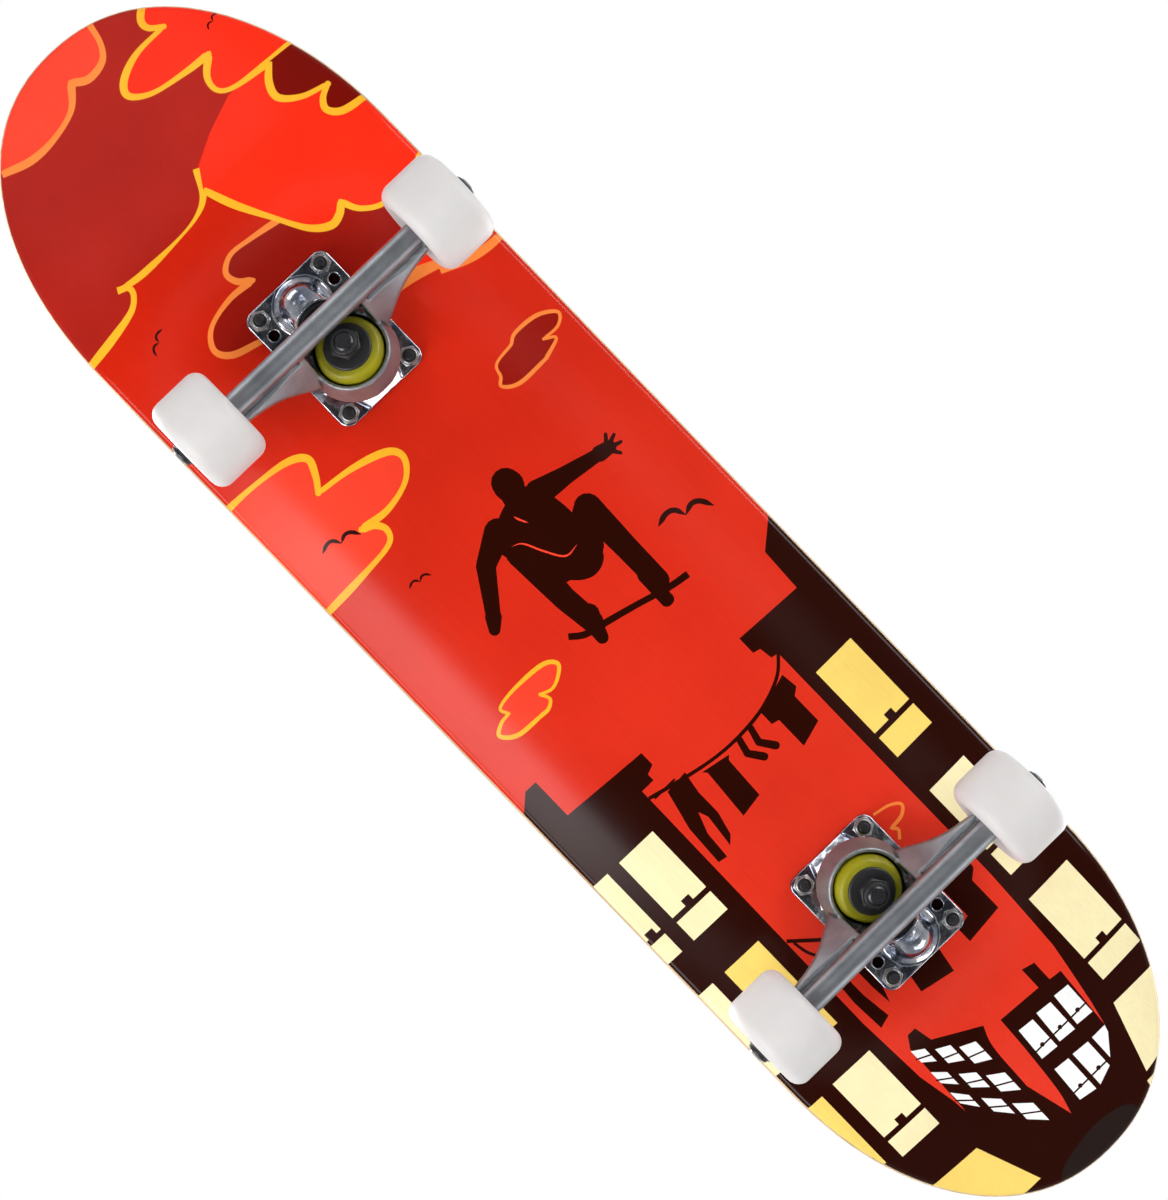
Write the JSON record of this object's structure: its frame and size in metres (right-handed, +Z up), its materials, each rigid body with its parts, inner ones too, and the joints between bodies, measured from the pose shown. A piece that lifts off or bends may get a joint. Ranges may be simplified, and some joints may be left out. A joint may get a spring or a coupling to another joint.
{
  "type": "skateboard",
  "caption": "Double-kick street skateboard with a concave laminated deck, printed underside, grip tape, steering trucks on urethane bushings and white urethane wheels on ball bearings.",
  "frame": {"origin": "on the ground under the middle of the deck, the board standing on its wheels", "axes": "+X towards the nose, +Y to the rider's left, +Z up"},
  "size_m": [0.785, 0.195, 0.1418],
  "materials": {
    "maple": "satin",
    "printed_maple": "gloss",
    "grip": "matte",
    "zinc_steel": "satin",
    "dark_steel": "satin",
    "black_steel": "satin",
    "polished_alloy": "polished",
    "satin_alloy": "satin",
    "bushing_urethane": "satin",
    "pivot_rubber": "matte",
    "wheel_urethane": "satin",
    "bearing_steel": "polished"
  },
  "bodies": {
    "deck": {"ply_1": "printed_maple", "ply_2": "maple", "ply_3": "maple", "ply_4": "maple", "ply_5": "maple", "ply_6": "maple", "ply_7": "maple", "grip_tape": "grip", "truck_bolts": "dark_steel", "truck_nuts": "zinc_steel", "kingpins": "dark_steel", "kingpin_nuts": "black_steel", "deck_side_cup_washers": "black_steel", "road_side_cup_washers": "black_steel", "front_baseplate": "polished_alloy", "front_pivot_cup": "pivot_rubber", "front_deck_side_bushing": "bushing_urethane", "front_road_side_bushing": "bushing_urethane", "rear_baseplate": "polished_alloy", "rear_pivot_cup": "pivot_rubber", "rear_deck_side_bushing": "bushing_urethane", "rear_road_side_bushing": "bushing_urethane"},
    "front_truck": {"front_hanger": "satin_alloy", "front_axle": "zinc_steel", "front_axle_nuts": "dark_steel", "front_speed_washers": "zinc_steel", "front_left_inner_races": "bearing_steel", "front_left_spacer": "satin_alloy", "front_right_inner_races": "bearing_steel", "front_right_spacer": "satin_alloy"},
    "front_left_wheel": {"front_left_wheel": "wheel_urethane", "front_left_outer_races": "bearing_steel", "front_left_shields": "bearing_steel"},
    "front_left_balls": {"front_left_balls": "bearing_steel", "front_left_cages": "bearing_steel"},
    "front_right_wheel": {"front_right_wheel": "wheel_urethane", "front_right_outer_races": "bearing_steel", "front_right_shields": "bearing_steel"},
    "front_right_balls": {"front_right_balls": "bearing_steel", "front_right_cages": "bearing_steel"},
    "rear_truck": {"rear_hanger": "satin_alloy", "rear_axle": "zinc_steel", "rear_axle_nuts": "dark_steel", "rear_speed_washers": "zinc_steel", "rear_left_inner_races": "bearing_steel", "rear_left_spacer": "satin_alloy", "rear_right_inner_races": "bearing_steel", "rear_right_spacer": "satin_alloy"},
    "rear_left_wheel": {"rear_left_wheel": "wheel_urethane", "rear_left_outer_races": "bearing_steel", "rear_left_shields": "bearing_steel"},
    "rear_left_balls": {"rear_left_balls": "bearing_steel", "rear_left_cages": "bearing_steel"},
    "rear_right_wheel": {"rear_right_wheel": "wheel_urethane", "rear_right_outer_races": "bearing_steel", "rear_right_shields": "bearing_steel"},
    "rear_right_balls": {"rear_right_balls": "bearing_steel", "rear_right_cages": "bearing_steel"}
  },
  "joints": [
    {"name": "front_steer", "type": "hinge", "parent": "deck", "child": "front_truck", "pos_m": [0.1642, 0, 0.052], "axis": [0.8829, 0, 0.4695], "range_deg": [-12, 12], "stiffness_Nm_per_rad": 40, "deforming": ["front_deck_side_bushing", "front_road_side_bushing"]},
    {"name": "front_left_spin", "type": "hinge", "parent": "front_truck", "child": "front_left_wheel", "pos_m": [0.1828, 0.076, 0.026], "axis": [0, 1, 0], "continuous": true},
    {"name": "front_left_ball_spin", "type": "hinge", "parent": "front_truck", "child": "front_left_balls", "pos_m": [0.1828, 0.076, 0.026], "axis": [0, 1, 0], "continuous": true},
    {"name": "front_right_spin", "type": "hinge", "parent": "front_truck", "child": "front_right_wheel", "pos_m": [0.1828, -0.076, 0.026], "axis": [0, 1, 0], "continuous": true},
    {"name": "front_right_ball_spin", "type": "hinge", "parent": "front_truck", "child": "front_right_balls", "pos_m": [0.1828, -0.076, 0.026], "axis": [0, 1, 0], "continuous": true},
    {"name": "rear_steer", "type": "hinge", "parent": "deck", "child": "rear_truck", "pos_m": [-0.1969, 0, 0.052], "axis": [-0.8829, 0, 0.4695], "range_deg": [-12, 12], "stiffness_Nm_per_rad": 40, "deforming": ["rear_deck_side_bushing", "rear_road_side_bushing"]},
    {"name": "rear_left_spin", "type": "hinge", "parent": "rear_truck", "child": "rear_left_wheel", "pos_m": [-0.2155, 0.076, 0.026], "axis": [0, 1, 0], "continuous": true},
    {"name": "rear_left_ball_spin", "type": "hinge", "parent": "rear_truck", "child": "rear_left_balls", "pos_m": [-0.2155, 0.076, 0.026], "axis": [0, 1, 0], "continuous": true},
    {"name": "rear_right_spin", "type": "hinge", "parent": "rear_truck", "child": "rear_right_wheel", "pos_m": [-0.2155, -0.076, 0.026], "axis": [0, 1, 0], "continuous": true},
    {"name": "rear_right_ball_spin", "type": "hinge", "parent": "rear_truck", "child": "rear_right_balls", "pos_m": [-0.2155, -0.076, 0.026], "axis": [0, 1, 0], "continuous": true}
  ],
  "couplings": [
    {"joint": "front_left_ball_spin", "follows": "front_left_spin", "ratio": 0.6323},
    {"joint": "front_right_ball_spin", "follows": "front_right_spin", "ratio": 0.6323},
    {"joint": "rear_left_ball_spin", "follows": "rear_left_spin", "ratio": 0.6323},
    {"joint": "rear_right_ball_spin", "follows": "rear_right_spin", "ratio": 0.6323}
  ]
}
